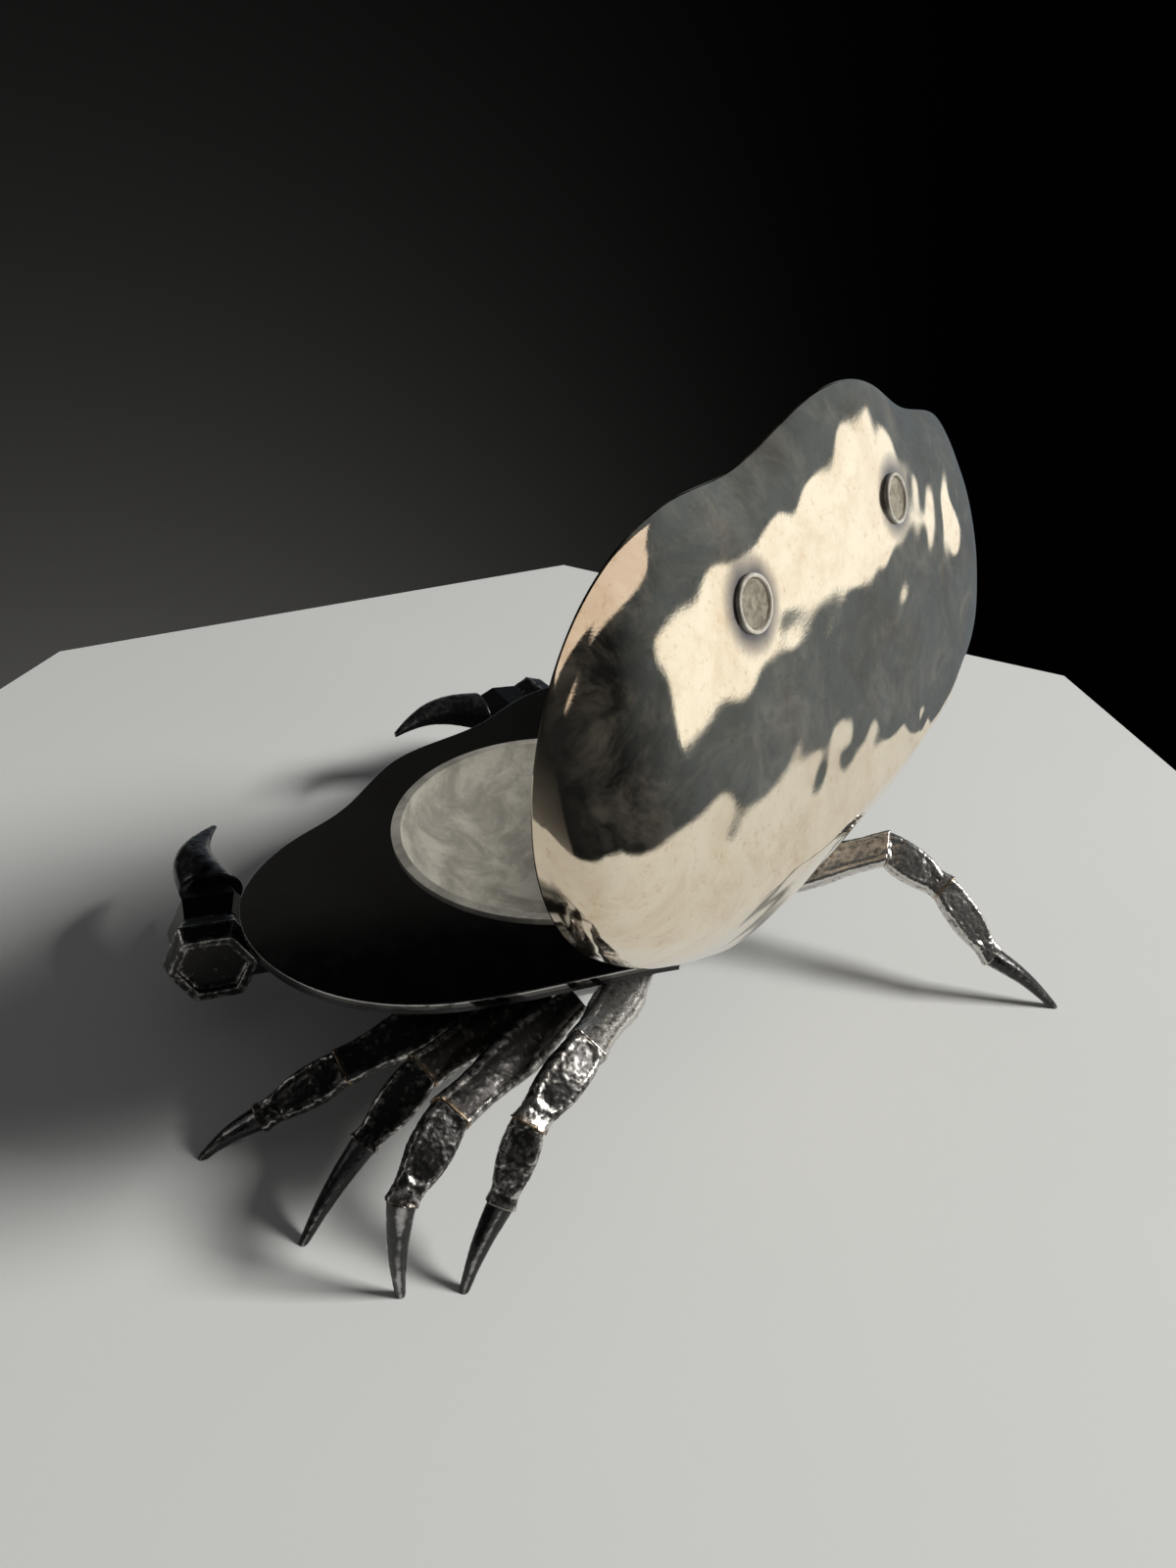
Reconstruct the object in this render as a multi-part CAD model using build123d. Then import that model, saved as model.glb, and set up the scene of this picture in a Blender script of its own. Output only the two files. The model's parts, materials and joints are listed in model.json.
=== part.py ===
"""Crab figurine: a hinged box in the shape of a crab, with a bowl in its deck and a domed lid."""
import math
import os

from build123d import *

# Stance: height of the deck above the table, place of the hinge line, opening of the lid at rest
DECK_TOP = 35.0
HINGE_Y = 35.75
LID_OPEN = 91.1

# Deck outline: distance to the side of the middle line, distance in front of the hinge line
HINGE_CORNER = (26.0, 2.4)
REAR_FLANK = (44.0, 16.6)
FLANK = (68.3, 40.5)
WIDEST = (74.3, 65.7)
SHOULDER = (63.8, 89.4)
BROW = (41.0, 97.6)
ORBIT = (27.0, 97.3)
ROSTRUM = (0.0, 103.0)
MIDDLE = 52.8

# Deck plate, hull and bowl
DECK_THICK = 1.5
DECK_ROUND = 0.3
HULL_DEPTH = 24.0
HULL_WALL = 1.2
LIP_THICK = 1.0
LIP_WIDTH = 3.0
HULL_INSET = 1.0
BOWL_RADIUS = 38.2
BOWL_FLANGE = 0.9
FLANGE_THICK = 0.7
BOWL_DEPTH = 21.0
BOWL_WALL = 1.1
BOWL_FIT = 0.2
# Taper of the hull: share of its depth, share of the outline there
HULL_TAPER = ((0.0, 1.0), (0.09, 0.975), (0.25, 0.89), (0.55, 0.79), (0.83, 0.66), (1.0, 0.48))

# Lid
LID_OVERHANG = 3.4
LID_HEIGHT = 23.2
LID_CREST = 36.2
LID_WALL = 1.2
LID_GAP = 0.3
LID_LEAN = 5.0
SCALLOP_FADE = 0.2
FULL_BROW = (44.0, 98.2)
FULL_ORBIT = (27.0, 101.2)

# Hinge
PIN_RADIUS = 0.7
PIN_FIT = 0.05
TUBE_RADIUS = 1.6
TUBE_LENGTH = 11.0
TUBE_GAP = 0.3
PIN_RECESS = 0.6
LEAF_THICK = 1.3
STOP_GAP = 0.3

# Eyes
LEFT_EYE = (34.5, 83.5)
RIGHT_EYE = (-21.5, 85.0)
EYE_RADIUS = 4.7
EYE_WALL = 0.7
EYE_HEIGHT = 0.9
EYE_RECESS = 0.35
EYE_FIT = 0.1

# Solder joints between castings
SOLDER = 0.1

# Leg joints: side, front of the hinge line, height, from the hull to the foot
LEG_1 = ((45.0, 34.6, 25.3), (73.5, 52.3, 15.5), (87.6, 62.3, 7.5), (97.6, 70.0, 0.0))
LEG_2 = ((33.0, 26.2, 23.5), (70.6, 32.6, 23.4), (84.8, 35.2, 15.0), (100.0, 38.4, 0.0))
LEG_3 = ((30.0, 20.5, 22.5), (79.0, 18.0, 28.6), (94.4, 16.2, 22.0), (97.6, 16.0, 0.0))
LEG_4 = ((12.0, 17.0, 21.0), (54.0, 5.8, 31.5), (72.0, 5.8, 27.0), (80.5, 5.8, 14.7),
         (90.4, 7.2, 0.0))
SWEPT_LEG_4 = ((8.0, 19.0, 22.0), (40.0, -14.5, 31.0), (41.0, -29.0, 25.0), (40.0, -43.0, 12.0),
               (45.6, -58.0, 0.0))
HIP_WIDTH = 10.4
ANKLE_WIDTH = 6.2
LEG_FLATNESS = 0.68
LEG_ROLL = 35.0
FOOT_RADIUS = 0.9
TIP_BOW = 0.9
PANEL_DEPTH = 0.6
HIND_SCALE = 0.94
# Swelling of a leg piece: share of its length, share of its width there
THIGH_SWELL = ((0.0, 0.55), (0.3, 0.74), (0.6, 1.08), (0.86, 0.9), (1.0, 1.0))
SHIN_SWELL = ((0.0, 0.88), (0.3, 1.08), (0.62, 1.04), (0.87, 0.86), (1.0, 1.0))

# Claws
CLAW_WIDTH = 22.0
CLAW_HEIGHT = 19.0
CLAW_BORDER = 2.0
CLAW_RECESS = 1.6
WRIST_LENGTH = 9.0
PALM_LENGTH = 13.0
FINGER_LENGTH = 27.0
FINGER_BOW = 4.0
FINGER_RISE = 5.6
FINGER_RADIUS = 7.0
ARM_LENGTH = 34.0
LEFT_CLAW = (68.5, 96.0, 20.0)
LEFT_CLAW_YAW = -131.0
RIGHT_CLAW = (-62.0, 105.6, 20.0)
RIGHT_CLAW_YAW = -25.0

os.makedirs("parts", exist_ok=True)
HULL_TOP = DECK_TOP - DECK_THICK - SOLDER


def point(side, front, height):
    """Point of the figurine from its side, front and height distances."""
    return Vector(side, HINGE_Y - front, height)


def outline(grow, height, scales=(1.0, 1.0, 1.0), crest=MIDDLE, scallop=1.0, lean=0.0):
    """Crab outline pushed out by grow, shrunk toward the crest, its right shoulder drawn back by lean."""
    side_scale, front_scale, rear_scale = scales
    wide = (WIDEST[0] + grow) / WIDEST[0]
    deep = (ROSTRUM[1] - MIDDLE + grow) / (ROSTRUM[1] - MIDDLE)
    brow = [full + (cut - full) * scallop for full, cut in zip(FULL_BROW, BROW)]
    orbit = [full + (cut - full) * scallop for full, cut in zip(FULL_ORBIT, ORBIT)]
    left = [HINGE_CORNER]
    for side, front in (REAR_FLANK, FLANK, WIDEST, SHOULDER, brow, orbit, ROSTRUM):
        left.append((side * wide, MIDDLE + (front - MIDDLE) * deep))
    right = []
    for side, front in reversed(left[:-1]):
        ahead = max(front - MIDDLE, 0.0) / (BROW[1] - MIDDLE)
        right.append((-side, front - lean * ahead * min(side / BROW[0], 1.0) ** 2))
    places = []
    for side, front in left + right:
        along = front_scale if front > crest else rear_scale
        places.append(point(side * side_scale, crest + (front - crest) * along, height))
    curve = Spline(*places)
    return Face(Wire([curve, Line(curve @ 1, curve @ 0)]))


def dome(grow, crown, foot):
    """Solid under the lid's skin: steep flanks, a long front slope and a short rear slope."""
    levels = [outline(grow, foot, lean=LID_LEAN)]
    for share in (0.12, 0.3, 0.5, 0.7, 0.86, 0.96):
        side = (1 - share ** 3.2) ** 0.41
        front = (1 - share ** 1.35) ** 0.9
        rear = (1 - share ** 1.54) ** 0.84
        scallop = math.exp(-(share / SCALLOP_FADE) ** 2)
        height = foot + crown * share
        levels.append(outline(grow, height, (side, front, rear), LID_CREST, scallop, LID_LEAN))
    return loft(levels)


def hull(grow, drop):
    """Solid of the hull's outside, pushed outward by grow, with its floor lowered by drop."""
    levels = []
    depth = HULL_DEPTH + drop
    for share, scale in HULL_TAPER:
        levels.append(outline(grow - HULL_INSET, HULL_TOP - depth * share, (scale, scale, scale)))
    return loft(levels)


def unit(vector):
    """Vector of length one."""
    return vector.normalized()


def cut_plane(place, normal, side):
    """Plane of a cross-section, with its X direction across the limb and its Y direction sideways."""
    return Plane(origin=place, x_dir=side.cross(normal), z_dir=normal)


def limb_planes(joints):
    """Cutting normals at a limb's joints and the directions that its broad upper face looks there."""
    along = [unit(b - a) for a, b in zip(joints, joints[1:])]
    normals = [along[0]]
    normals += [unit(a + b) for a, b in zip(along, along[1:])]
    normals.append(along[-1])
    roll = math.radians(LEG_ROLL)
    backs = []
    for normal in normals:
        side = unit(Vector(0, 0, 1).cross(normal))
        backs.append(unit(normal.cross(side) * math.cos(roll) + side * math.sin(roll)))
    return normals, backs


def casting(start, end, normals, backs, widths, swells):
    """Leg piece with flared ends, a full middle and a sunken panel on both broad faces."""
    run = end - start
    along = unit(run)
    back = unit(backs[0] + backs[1])
    back = unit(back - along * back.dot(along))
    sections = []
    for share, swell in swells:
        place = start + run * share
        plane = cut_plane(place, along, back)
        if share == 0.0:
            plane = cut_plane(place + normals[0] * (SOLDER / 2), normals[0], backs[0])
        if share == 1.0:
            plane = cut_plane(place - normals[1] * (SOLDER / 2), normals[1], backs[1])
        width = (widths[0] + (widths[1] - widths[0]) * share) * swell
        thick = width * LEG_FLATNESS
        sections.append(plane * RectangleRounded(width, thick, thick * 0.4))
    body = loft(sections)
    middle = (widths[0] + widths[1]) / 2
    panel_width = middle * 0.5
    fullest = max(swells, key=lambda pair: pair[1])[0]
    panel_length = run.length * min(fullest, 1 - fullest) * 1.3
    depth = middle * LEG_FLATNESS / 2 - PANEL_DEPTH
    if panel_length > panel_width * 1.2:
        for facing in (back, -back):
            origin = start + run * (fullest + 0.5) / 2 + facing * depth
            floor = Plane(origin=origin, x_dir=along, z_dir=facing)
            body -= extrude(floor * SlotOverall(panel_length, panel_width), middle)
    return body


def tip(start, foot, normal, back, width):
    """Last segment of a leg: a slightly bowed spike that stands on a small flat foot."""
    run = foot - start
    along = unit(run)
    bow = unit(Vector(0, 0, 1) - along * along.Z) * TIP_BOW
    half = width / 2
    sections = [cut_plane(start + normal * (SOLDER / 2), normal, back) * Ellipse(half, half * 0.8)]
    for share in (0.3, 0.65):
        place = start + run * share + bow * math.sin(math.pi * share)
        radius = half + (FOOT_RADIUS - half) * share
        sections.append(cut_plane(place, along, back) * Ellipse(radius, radius * 0.85))
    sections.append(cut_plane(foot, Vector(0, 0, -1), back) * Ellipse(FOOT_RADIUS, FOOT_RADIUS * 0.85))
    return loft(sections)


def leg(name, joints, scale, hull_space):
    """All castings of one leg, the first cut to the hull's curve."""
    places = [point(*joint) for joint in joints]
    normals, backs = limb_planes(places)
    count = len(places) - 2
    titles = ("thigh", "shin") if count == 2 else ("thigh", "knee", "shin")
    pieces = {}
    for number, title in enumerate(titles):
        ends = slice(number, number + 2)
        narrowing = (ANKLE_WIDTH - HIP_WIDTH) / count
        widths = [(HIP_WIDTH + narrowing * end) * scale for end in (number, number + 1)]
        swells = SHIN_SWELL if number else THIGH_SWELL
        body = casting(places[number], places[number + 1], normals[ends], backs[ends], widths, swells)
        if number == 0:
            body = largest(body - hull_space)
        pieces[f"{name}_{title}"] = body
    pieces[f"{name}_tip"] = tip(places[-2], places[-1], normals[-2], backs[-2], ANKLE_WIDTH * scale * 0.86)
    return pieces


def largest(shape):
    """Biggest solid of a shape."""
    return max(shape.solids(), key=lambda solid: solid.volume)


def hexagon(place, width, height):
    """Six-sided cross-section at a distance along the claw."""
    half = width / 2
    flat = height / 2
    corners = ((half, 0), (half * 0.55, flat), (-half * 0.55, flat), (-half, 0), (-half * 0.55, -flat),
               (half * 0.55, -flat))
    plane = Plane(origin=(place, 0, 0), x_dir=(0, 1, 0), z_dir=(1, 0, 0))
    return plane * make_face(Polyline(*corners, close=True))


def horn(start, rise, bend, radius, length):
    """Curved pointed finger along the claw, bowed upward by rise and sideways by bend."""
    sections = []
    for share in (0.0, 0.35, 0.7, 1.0):
        arc = math.sin(math.pi * share)
        place = Vector(start + length * share, bend * arc, rise * (0.9 + arc * 0.25))
        size = radius * (1 - 0.88 * share ** 1.1)
        plane = Plane(origin=place, x_dir=(0, 1, 0), z_dir=(1, 0, 0))
        sections.append(plane * Ellipse(size, size * 0.78))
    return loft(sections)


def wrist_block(grow):
    """Six-sided wrist, pushed outward by grow."""
    front = WRIST_LENGTH / 2
    width = CLAW_WIDTH + grow * 2
    height = CLAW_HEIGHT + grow * 2
    return loft([hexagon(-front, width * 0.86, height * 0.86), hexagon(-front * 0.1, width, height),
                 hexagon(front, width * 0.84, height * 0.84)], ruled=True)


def claw(turn):
    """Arm, wrist, palm and finger of one claw, along X, with the arm on the side given by turn."""
    front = WRIST_LENGTH / 2
    wrist = wrist_block(0.0)
    inset = hexagon(-front, CLAW_WIDTH * 0.86 - CLAW_BORDER * 2, CLAW_HEIGHT * 0.86 - CLAW_BORDER * 2)
    wrist -= extrude(inset, CLAW_RECESS, dir=(1, 0, 0))
    root = front + SOLDER
    palm = loft([hexagon(root, CLAW_WIDTH * 0.84, CLAW_HEIGHT * 0.84),
                 hexagon(root + PALM_LENGTH * 0.5, CLAW_WIDTH * 0.94, CLAW_HEIGHT * 0.92),
                 hexagon(root + PALM_LENGTH, CLAW_WIDTH * 0.66, CLAW_HEIGHT * 0.8)], ruled=True)
    reach = root + PALM_LENGTH
    bend = -turn * FINGER_BOW
    palm += horn(reach - 2.0, -FINGER_RISE, bend, FINGER_RADIUS * 0.64, FINGER_LENGTH * 0.85)
    finger = horn(reach + SOLDER, FINGER_RISE, bend, FINGER_RADIUS, FINGER_LENGTH)
    across = Plane(origin=(0, 0, 0), x_dir=(0, 0, 1), z_dir=(0, turn, 0))
    thick = CLAW_HEIGHT * 0.5
    arm = loft([across.offset(CLAW_WIDTH * 0.3) * RectangleRounded(thick * 1.1, thick * 0.9, thick * 0.35),
                across.offset(ARM_LENGTH) * RectangleRounded(thick, thick * 0.9, thick * 0.35)])
    return {"arm": largest(arm - wrist_block(SOLDER)), "wrist": wrist, "palm": palm, "finger": finger}


pieces = {}

# Hull with its lip, deck plate and bowl
hull_outside = hull(0.0, 0.0)
hull_inside = hull(-HULL_WALL, -HULL_WALL)
down = (0, 0, -1)
lip = extrude(outline(0.0, HULL_TOP), LIP_THICK, dir=down)
lip -= extrude(outline(-LIP_WIDTH, HULL_TOP), LIP_THICK, dir=down)
pieces["base_shell"] = largest(hull_outside + lip - hull_inside)
bowl_centre = Pos(0, HINGE_Y - MIDDLE, DECK_TOP)
hole_radius = BOWL_RADIUS - BOWL_FLANGE
deck = extrude(outline(0.0, DECK_TOP), DECK_THICK, dir=down)
deck = fillet(deck.faces().sort_by(Axis.Z)[-1].edges(), DECK_ROUND)
pieces["deck_plate"] = deck - bowl_centre * Cylinder(hole_radius, DECK_THICK * 4)

wall_radius = hole_radius - BOWL_FIT
inner_radius = wall_radius - BOWL_WALL
with BuildSketch(Plane.XZ) as bowl_profile:
    with BuildLine():
        Polyline((0, -BOWL_DEPTH), (0, -BOWL_DEPTH + BOWL_WALL))
        EllipticalCenterArc((0, 0), inner_radius, BOWL_DEPTH - BOWL_WALL, start_angle=-90, arc_size=90)
        Polyline((inner_radius, 0), (inner_radius, FLANGE_THICK), (BOWL_RADIUS, FLANGE_THICK),
                 (BOWL_RADIUS, 0), (wall_radius, 0))
        EllipticalCenterArc((0, 0), wall_radius, BOWL_DEPTH, start_angle=-90, arc_size=90)
    make_face()
pieces["bowl"] = bowl_centre * revolve(bowl_profile.sketch, Axis.Z)

# Hinge tubes, leaves and pin along the hinge line
axle = Pos(0, HINGE_Y, DECK_TOP) * Rot(0, 90, 0)
pitch = TUBE_LENGTH + TUBE_GAP
leaf_reach = HINGE_CORNER[1] - SOLDER
leaf = Box(TUBE_LENGTH, leaf_reach, LEAF_THICK, align=(Align.CENTER, Align.MAX, Align.MAX))
bore = axle * Cylinder(PIN_RADIUS + PIN_FIT, pitch * 4)
for name, way in (("left", 1), ("right", -1)):
    tube = axle * Pos(0, 0, way * pitch) * Cylinder(TUBE_RADIUS, TUBE_LENGTH)
    tab = Pos(way * pitch, HINGE_Y, DECK_TOP) * leaf
    pieces[f"base_knuckle_{name}"] = tube + tab - bore
pieces["hinge_pin"] = axle * Cylinder(PIN_RADIUS, pitch * 2 + TUBE_LENGTH - PIN_RECESS * 2)

# Lid in its closed place, then turned open about the hinge line
rim = DECK_TOP + LID_GAP
lid_outside = dome(LID_OVERHANG, LID_HEIGHT, rim)
lid_inside = dome(LID_OVERHANG - LID_WALL, LID_HEIGHT - LID_WALL, rim)
lid_parts = {"carapace": largest(lid_outside - lid_inside)}
lid_tab = Pos(0, HINGE_Y, rim + LEAF_THICK) * leaf
lid_parts["lid_knuckle"] = axle * Cylinder(TUBE_RADIUS, TUBE_LENGTH) + lid_tab - bore
for name, place in (("left", LEFT_EYE), ("right", RIGHT_EYE)):
    ray = Axis(point(*place, rim + LID_HEIGHT * 2), (0, 0, -1))
    seat, facing = lid_outside.find_intersection_points(ray)[0]
    facing = facing if facing.Z > 0 else -facing
    spot = Plane(origin=seat, z_dir=facing)
    collar = Cylinder(EYE_RADIUS, EYE_HEIGHT * 2) - Cylinder(EYE_RADIUS - EYE_WALL, EYE_HEIGHT * 2)
    lid_parts[f"eye_collar_{name}"] = largest(spot * collar - lid_outside)
    disc = Pos(0, 0, -EYE_RECESS) * Cylinder(EYE_RADIUS - EYE_WALL - EYE_FIT, EYE_HEIGHT * 2)
    lid_parts[f"eye_disc_{name}"] = largest(spot * disc - lid_outside)
hinge_line = Axis((0, HINGE_Y, DECK_TOP), (1, 0, 0))
for name, body in lid_parts.items():
    pieces[name] = body.rotate(hinge_line, -LID_OPEN)
heel_size = HINGE_CORNER[1] - STOP_GAP
heel = Box(TUBE_LENGTH, heel_size, heel_size, align=(Align.CENTER, Align.MAX, Align.MAX))
heel = Pos(0, HINGE_Y, DECK_TOP) * heel - bore
pieces["lid_knuckle"] = pieces["lid_knuckle"] + heel

# Legs and claws, cut to the hull's curve
hull_space = hull(SOLDER, SOLDER)
for number, joints in enumerate((LEG_1, LEG_2, LEG_3, LEG_4), 1):
    scale = HIND_SCALE if number == 4 else 1.0
    left = leg(f"left_leg_{number}", joints, scale, hull_space)
    pieces.update(left)
    if number < 4:
        for name, body in left.items():
            pieces[name.replace("left", "right")] = mirror(body, Plane.YZ)
swept = leg("right_leg_4", SWEPT_LEG_4, HIND_SCALE, mirror(hull_space, Plane.YZ))
for name, body in swept.items():
    pieces[name] = mirror(body, Plane.YZ)
claws = (("left", -1, LEFT_CLAW, LEFT_CLAW_YAW), ("right", 1, RIGHT_CLAW, RIGHT_CLAW_YAW))
for name, turn, place, yaw in claws:
    stand = Pos(*point(*place)) * Rot(0, 0, yaw)
    for title, body in claw(turn).items():
        body = stand * body
        if title == "arm":
            body = largest(body - hull_space)
        pieces[f"{name}_claw_{title}"] = body

for name, body in pieces.items():
    export_step(body, f"parts/{name}.step")
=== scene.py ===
"""Looks of the crab figurine: hammered lid, cast limbs, polished deck, table, light and camera.

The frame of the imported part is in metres: +X to the crab's left, -Y to its claws, +Z up. The sizes of the
lid and limbs are in millimetres, and so are their points until a mesh is made of them.
"""
import json
import logging
import math
from dataclasses import dataclass
from enum import Enum
from typing import Any, Dict, List, Optional, Sequence, Tuple, Union

import bpy
import numpy as np
from mathutils import Matrix, Vector

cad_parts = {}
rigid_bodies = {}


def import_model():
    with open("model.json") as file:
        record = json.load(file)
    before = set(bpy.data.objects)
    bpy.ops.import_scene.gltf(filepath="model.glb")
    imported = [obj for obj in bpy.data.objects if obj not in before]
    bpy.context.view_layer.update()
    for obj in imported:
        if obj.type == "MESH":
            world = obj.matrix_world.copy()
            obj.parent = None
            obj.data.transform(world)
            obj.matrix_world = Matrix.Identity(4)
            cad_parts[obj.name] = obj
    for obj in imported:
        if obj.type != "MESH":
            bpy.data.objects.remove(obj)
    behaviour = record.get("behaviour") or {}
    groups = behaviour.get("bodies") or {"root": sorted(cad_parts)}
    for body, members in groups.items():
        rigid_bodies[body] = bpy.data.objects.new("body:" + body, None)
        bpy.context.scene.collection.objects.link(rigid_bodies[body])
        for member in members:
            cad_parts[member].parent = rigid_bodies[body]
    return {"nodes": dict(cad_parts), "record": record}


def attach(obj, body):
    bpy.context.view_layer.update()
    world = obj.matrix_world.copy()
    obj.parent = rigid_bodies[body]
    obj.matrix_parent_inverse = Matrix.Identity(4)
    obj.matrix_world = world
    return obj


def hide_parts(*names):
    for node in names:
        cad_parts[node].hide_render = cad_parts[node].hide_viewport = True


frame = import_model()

log = logging.getLogger("crab")
Colour = Tuple[float, float, float]
Pair = Tuple[float, float]
Point = Tuple[float, float, float]
Inputs = Dict[Union[int, str], Any]
Array = np.ndarray
Socket = bpy.types.NodeSocket
Material = bpy.types.Material
Materials = Dict[str, Material]
MM = 0.001
HINGE_Y = 35.75
DECK_TOP = 35.0


class Body(Enum):
    """Rigid bodies of the part."""

    BASE = "base"
    LID = "lid"


class Slot(Enum):
    """Material slots of the record."""

    HAMMERED = "hammered_silver"
    POLISHED = "polished_silver"
    MATTE = "matte_silver"
    WORN = "worn_silver"
    TEXTURED = "textured_silver"
    OXIDISED = "oxidised_silver"
    DARK = "smooth_oxidised_silver"


class Val:
    """Number socket of a material; operators on it add Math nodes."""

    def __init__(self, graph: "Graph", socket: Socket) -> None:
        """Wraps an output socket of a graph."""
        self.graph = graph
        self.socket = socket

    def math(self, operation: str, first: Any, second: Any = 0.0) -> "Val":
        """Result of a Math node on two numbers or Vals."""
        return self.graph.value("ShaderNodeMath", {"operation": operation}, {0: first, 1: second})

    def __add__(self, other: Any) -> "Val":
        """Sum with a number or Val."""
        return self.math("ADD", self, other)

    __radd__ = __add__

    def __mul__(self, other: Any) -> "Val":
        """Product with a number or Val."""
        return self.math("MULTIPLY", self, other)

    __rmul__ = __mul__

    def __sub__(self, other: Any) -> "Val":
        """This minus a number or Val."""
        return self.math("SUBTRACT", self, other)

    def __rsub__(self, other: Any) -> "Val":
        """Number or Val minus this."""
        return self.math("SUBTRACT", other, self)

    def exp(self) -> "Val":
        """Power of e that has this as its exponent."""
        return self.math("EXPONENT", self)

    def clamp(self) -> "Val":
        """This value held between zero and one."""
        return self.math("MINIMUM", self.math("MAXIMUM", self, 0.0), 1.0)

    def step(self, low: float, high: float) -> "Val":
        """Smooth step of this value, from zero at low to one at high."""
        settings = {"interpolation_type": "SMOOTHSTEP"}
        return self.graph.value("ShaderNodeMapRange", settings, {0: self, 1: low, 2: high, 3: 0.0, 4: 1.0})


class Graph:
    """Node tree of one material or of the world."""

    def __init__(self, tree: bpy.types.NodeTree) -> None:
        """Takes over a tree and clears it."""
        tree.nodes.clear()
        self.tree = tree

    @classmethod
    def painted(cls, name: str) -> Tuple[Material, "Graph"]:
        """New material of a name.

        Args:
            name: Name of the material.

        Returns:
            The material and its empty graph.
        """
        material = bpy.data.materials.new(name)
        material.use_nodes = True
        return material, cls(material.node_tree)

    def node(self, kind: str, settings: Optional[Dict[str, Any]] = None,
             inputs: Optional[Inputs] = None) -> bpy.types.Node:
        """Adds a node, sets its settings and then its sockets.

        Args:
            kind: Node type.
            settings: Attributes of the node.
            inputs: Socket index or name to a number, colour, Val or socket.

        Returns:
            The new node.
        """
        made = self.tree.nodes.new(kind)
        for key, value in (settings or {}).items():
            setattr(made, key, value)
        for key, value in (inputs or {}).items():
            socket = made.inputs[key]
            if isinstance(value, Val):
                self.tree.links.new(value.socket, socket)
            elif isinstance(value, Socket):
                self.tree.links.new(value, socket)
            elif socket.type == "RGBA":
                socket.default_value = (*value, 1.0)
            else:
                socket.default_value = value
        return made

    def value(self, kind: str, settings: Optional[Dict[str, Any]] = None, inputs: Optional[Inputs] = None,
              output: Union[int, str] = 0) -> Val:
        """Adds a node as the node method does and wraps one of its outputs."""
        return Val(self, self.node(kind, settings, inputs).outputs[output])

    def place(self, space: str = "Object") -> Socket:
        """Coordinates of the shaded point, in a space of the Texture Coordinate node."""
        return self.node("ShaderNodeTexCoord").outputs[space]

    def axes(self, place: Socket) -> List[Val]:
        """X, Y and Z of a vector."""
        parts = self.node("ShaderNodeSeparateXYZ", None, {0: place})
        return [Val(self, output) for output in parts.outputs]

    def noise(self, scale: float, detail: float = 3.0, roughness: float = 0.5, warp: float = 0.0) -> Val:
        """Noise over the piece: cells per metre, octaves, share of the finer ones and distortion."""
        inputs = {"Vector": self.place(), "Scale": scale, "Detail": detail, "Roughness": roughness,
                  "Distortion": warp}
        return self.value("ShaderNodeTexNoise", {"noise_dimensions": "3D"}, inputs)

    def attribute(self, name: str) -> Val:
        """Number stored on the mesh under a name."""
        return self.value("ShaderNodeAttribute", {"attribute_name": name}, None, "Fac")

    def mix(self, share: Val, low: Any, high: Any) -> Socket:
        """Mix of two colours or colour sockets: low where the share is zero, high where it is one."""
        return self.node("ShaderNodeMix", {"data_type": "RGBA"}, {0: share, 6: low, 7: high}).outputs[2]

    def bump(self, height: Val, strength: float, distance: float) -> Socket:
        """Normal bumped by a height, where a change of one stands for a distance in metres."""
        inputs = {"Strength": strength, "Distance": distance, "Height": height}
        return self.node("ShaderNodeBump", None, inputs).outputs[0]

    def surface(self, inputs: Inputs) -> None:
        """Closes the material with a Principled shader that has the given sockets."""
        shader = self.node("ShaderNodeBsdfPrincipled", None, inputs)
        self.node("ShaderNodeOutputMaterial", None, {"Surface": shader.outputs[0]})


@dataclass(frozen=True)
class Finish:
    """Finish of a slot: colours, gloss, its unevenness and the marks per metre."""

    slot: Slot
    pale: Colour
    deep: Colour
    roughness: float
    haze: float
    marks: float


@dataclass(frozen=True)
class PolishedFinish(Finish):
    """Polished metal with a faint tarnish, haze, fine scratches and painted shade on the parts below the
    deck's top.
    """

    under_deck_shade: Colour
    under_deck_shade_heights: Pair = (0.0342, 0.0349)
    scratch_depth: float = 0.00002

    def material(self) -> Material:
        """Polished metal that turns dark between two heights, as painted shade below the deck's top.

        Returns:
            The material.
        """
        material, graph = Graph.painted(self.slot.value)
        tarnish = graph.noise(self.marks, 5.0, 0.6, 0.4).step(0.42, 0.75)
        haze = graph.noise(self.marks * 5.0, 4.0, 0.65).step(0.35, 0.8)
        scratch = graph.noise(self.marks * 40.0, 2.0, 0.5)
        height = graph.axes(graph.place())[2]
        # Painted shade: below the deck's top the metal turns dark, as the shaded underside.
        edge = 1.0 - height.step(*self.under_deck_shade_heights)
        metal = graph.mix(tarnish, self.pale, self.deep)
        graph.surface({"Base Color": graph.mix(edge, metal, self.under_deck_shade), "Metallic": 1.0,
                       "Roughness": haze * self.haze + self.roughness,
                       "Normal": graph.bump(scratch, 0.25, self.scratch_depth)})
        return material


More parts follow.
